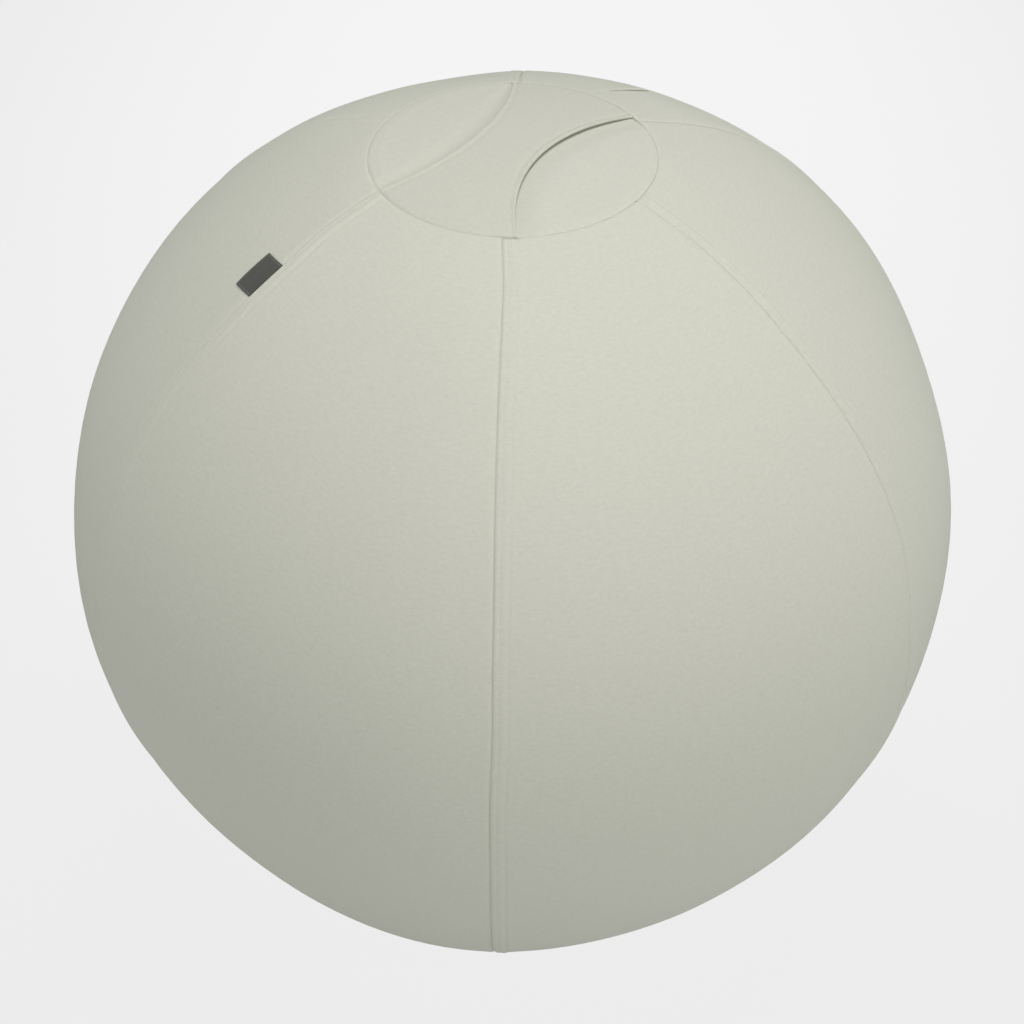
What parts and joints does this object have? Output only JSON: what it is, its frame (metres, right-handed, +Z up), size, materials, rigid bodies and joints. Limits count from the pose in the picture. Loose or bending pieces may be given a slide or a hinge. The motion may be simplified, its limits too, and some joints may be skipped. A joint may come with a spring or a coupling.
{
  "type": "balance ball chair",
  "caption": "Fabric-covered inflatable sitting ball with a gored, zipped cover, a round top disc, a waisted carry strap, a blank side label and a weighted, flattened base.",
  "frame": {"origin": "on the floor, under the middle of the ball, at the middle of the flattened patch it stands on", "axes": "+Z up; the front seam faces -Y; the zip runs up the back, on +Y; the side label lies towards -X"},
  "size_m": [0.646, 0.6598, 0.6419],
  "materials": {
    "cover_knit": "matte",
    "strap_knit": "matte",
    "base_grip": "matte",
    "label_woven": "matte",
    "zip_tape": "matte",
    "zip_nylon": "satin",
    "zip_zinc": "satin",
    "ball_vinyl": "satin",
    "valve_vinyl": "satin",
    "plug_plastic": "gloss",
    "pouch_cloth": "matte",
    "sand": "matte"
  },
  "bodies": {
    "root": {"gore_panel_front_right": "cover_knit", "gore_panel_right": "cover_knit", "gore_panel_back_right": "cover_knit", "gore_panel_back_left": "cover_knit", "gore_panel_left": "cover_knit", "gore_panel_front_left": "cover_knit", "top_disc": "cover_knit", "base_disc": "base_grip", "zip_tape_left": "zip_tape", "zip_tape_right": "zip_tape", "zip_coil_left": "zip_nylon", "zip_coil_right": "zip_nylon", "zip_top_stop_left": "zip_zinc", "zip_top_stop_right": "zip_zinc", "zip_bottom_stop": "zip_zinc", "inner_ball": "ball_vinyl", "valve_seat": "valve_vinyl", "valve_plug": "plug_plastic", "lower_pouch_panel": "pouch_cloth", "upper_pouch_panel": "pouch_cloth", "sand_fill": "sand"},
    "strap": {"carry_strap": "strap_knit"},
    "label": {"side_label": "label_woven"},
    "slider": {"zip_slider": "zip_zinc"},
    "pull": {"zip_pull_tab": "zip_zinc"}
  },
  "joints": [
    {"name": "strap_lift", "type": "slide", "parent": "root", "child": "strap", "axis": [0, 0, 1], "range_m": [0, 0.028]},
    {"name": "label_flap", "type": "hinge", "parent": "root", "child": "label", "pos_m": [-0.15564, -0.09646, 0.59398], "axis": [0.7094, 0.4558, 0.5376], "range_deg": [0, 100]},
    {"name": "zip_travel", "type": "hinge", "parent": "root", "child": "slider", "pos_m": [0, 0, 0.32144], "axis": [-1, 0, 0], "range_deg": [0, 52.7]},
    {"name": "pull_swing", "type": "hinge", "parent": "slider", "child": "pull", "pos_m": [0, 0.32843, 0.34783], "axis": [1, 0, 0], "range_deg": [0, 160]}
  ]
}
